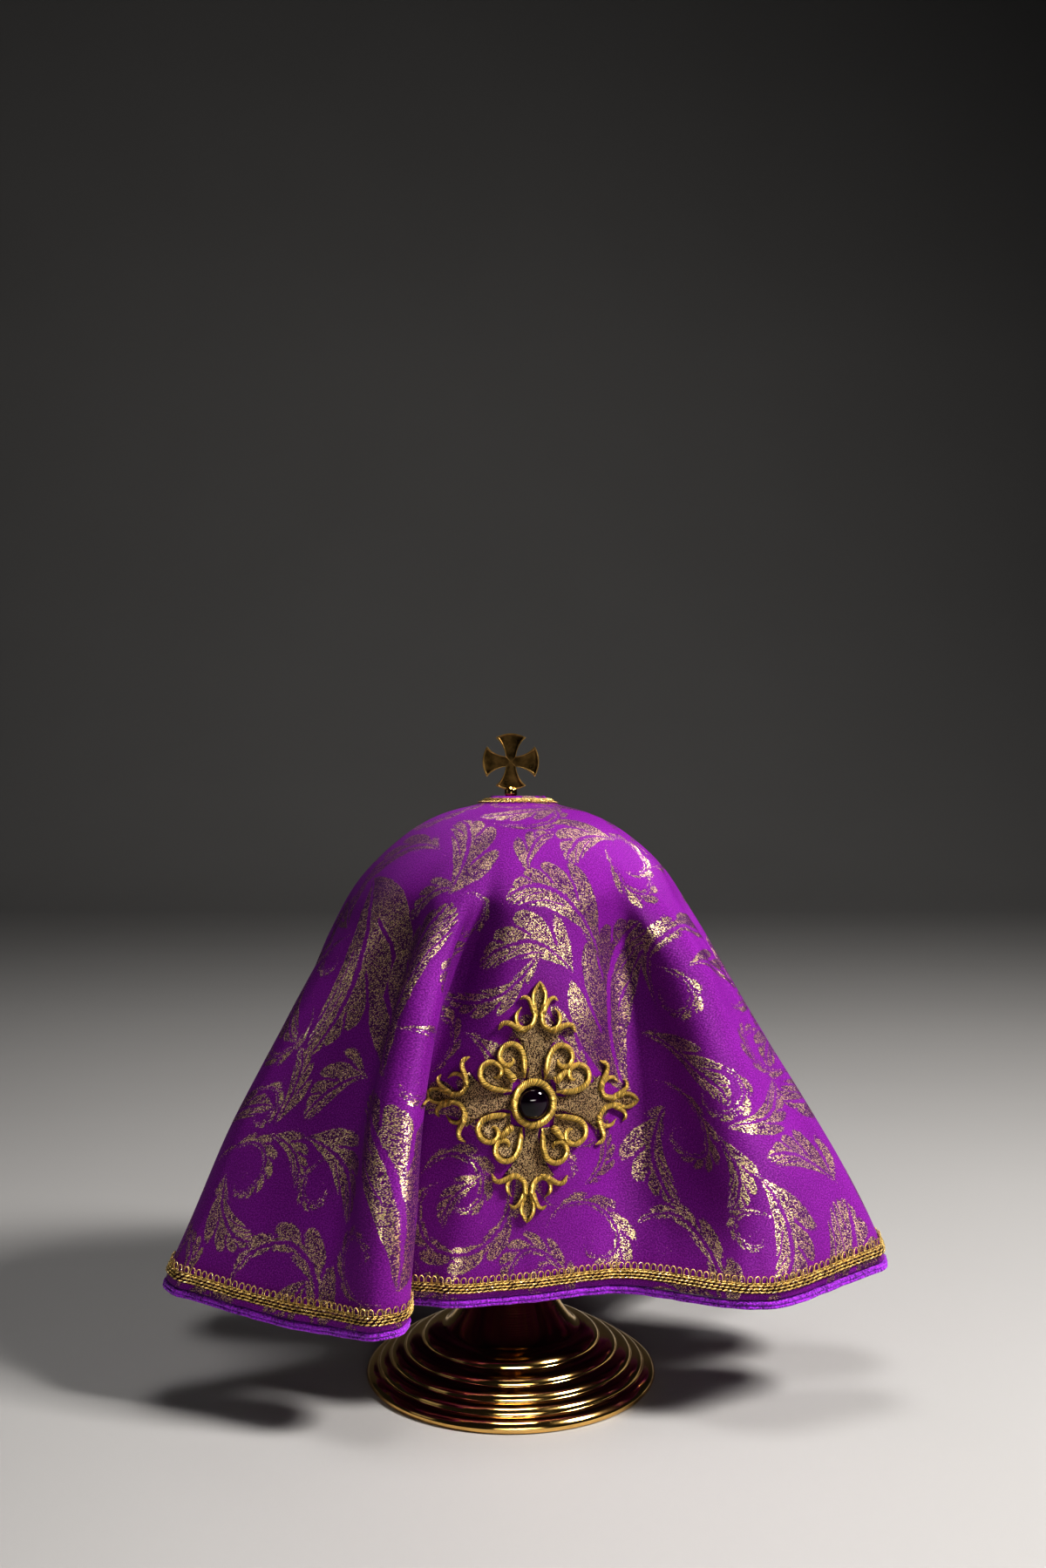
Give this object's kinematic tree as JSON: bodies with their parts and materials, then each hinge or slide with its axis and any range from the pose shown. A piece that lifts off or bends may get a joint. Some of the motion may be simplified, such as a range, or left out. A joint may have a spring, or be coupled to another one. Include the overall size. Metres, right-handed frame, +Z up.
{
  "type": "ciborium veil on a ciborium",
  "caption": "Round purple brocade veil with braided hem and embroidered cross, draped in deep uneven folds over a plain gilt ciborium with a stepped foot and cross finial.",
  "frame": {"origin": "centre of the ciborium's flat underside, on its axis", "axes": "+Z up along the ciborium's axis, -Y to the front where the embroidered cross hangs, +X to the viewer's right, along the veil's widest spread"},
  "size_m": [0.2873, 0.2204, 0.2658],
  "materials": {
    "brocade": "satin-faced purple brocade with gold metallic scroll figures",
    "velvet_binding": "rolled velvet edge binding",
    "gold_braid": "gold metallic chain-stitch braid with a looped edge",
    "gold_embroidery": "raised gold satin-stitch embroidery",
    "dark_stone": "faceted dark violet glass",
    "gilt_metal": "polished gilt"
  },
  "bodies": {
    "root": {"veil_cloth": "brocade", "hem_binding": "velvet_binding", "hem_braid": "gold_braid", "neck_braid": "gold_braid", "cross_applique": "gold_embroidery", "cross_stone": "dark_stone", "ciborium_foot": "gilt_metal", "ciborium_cup": "gilt_metal", "ciborium_lid": "gilt_metal", "lid_finial": "gilt_metal"}
  },
  "joints": []
}
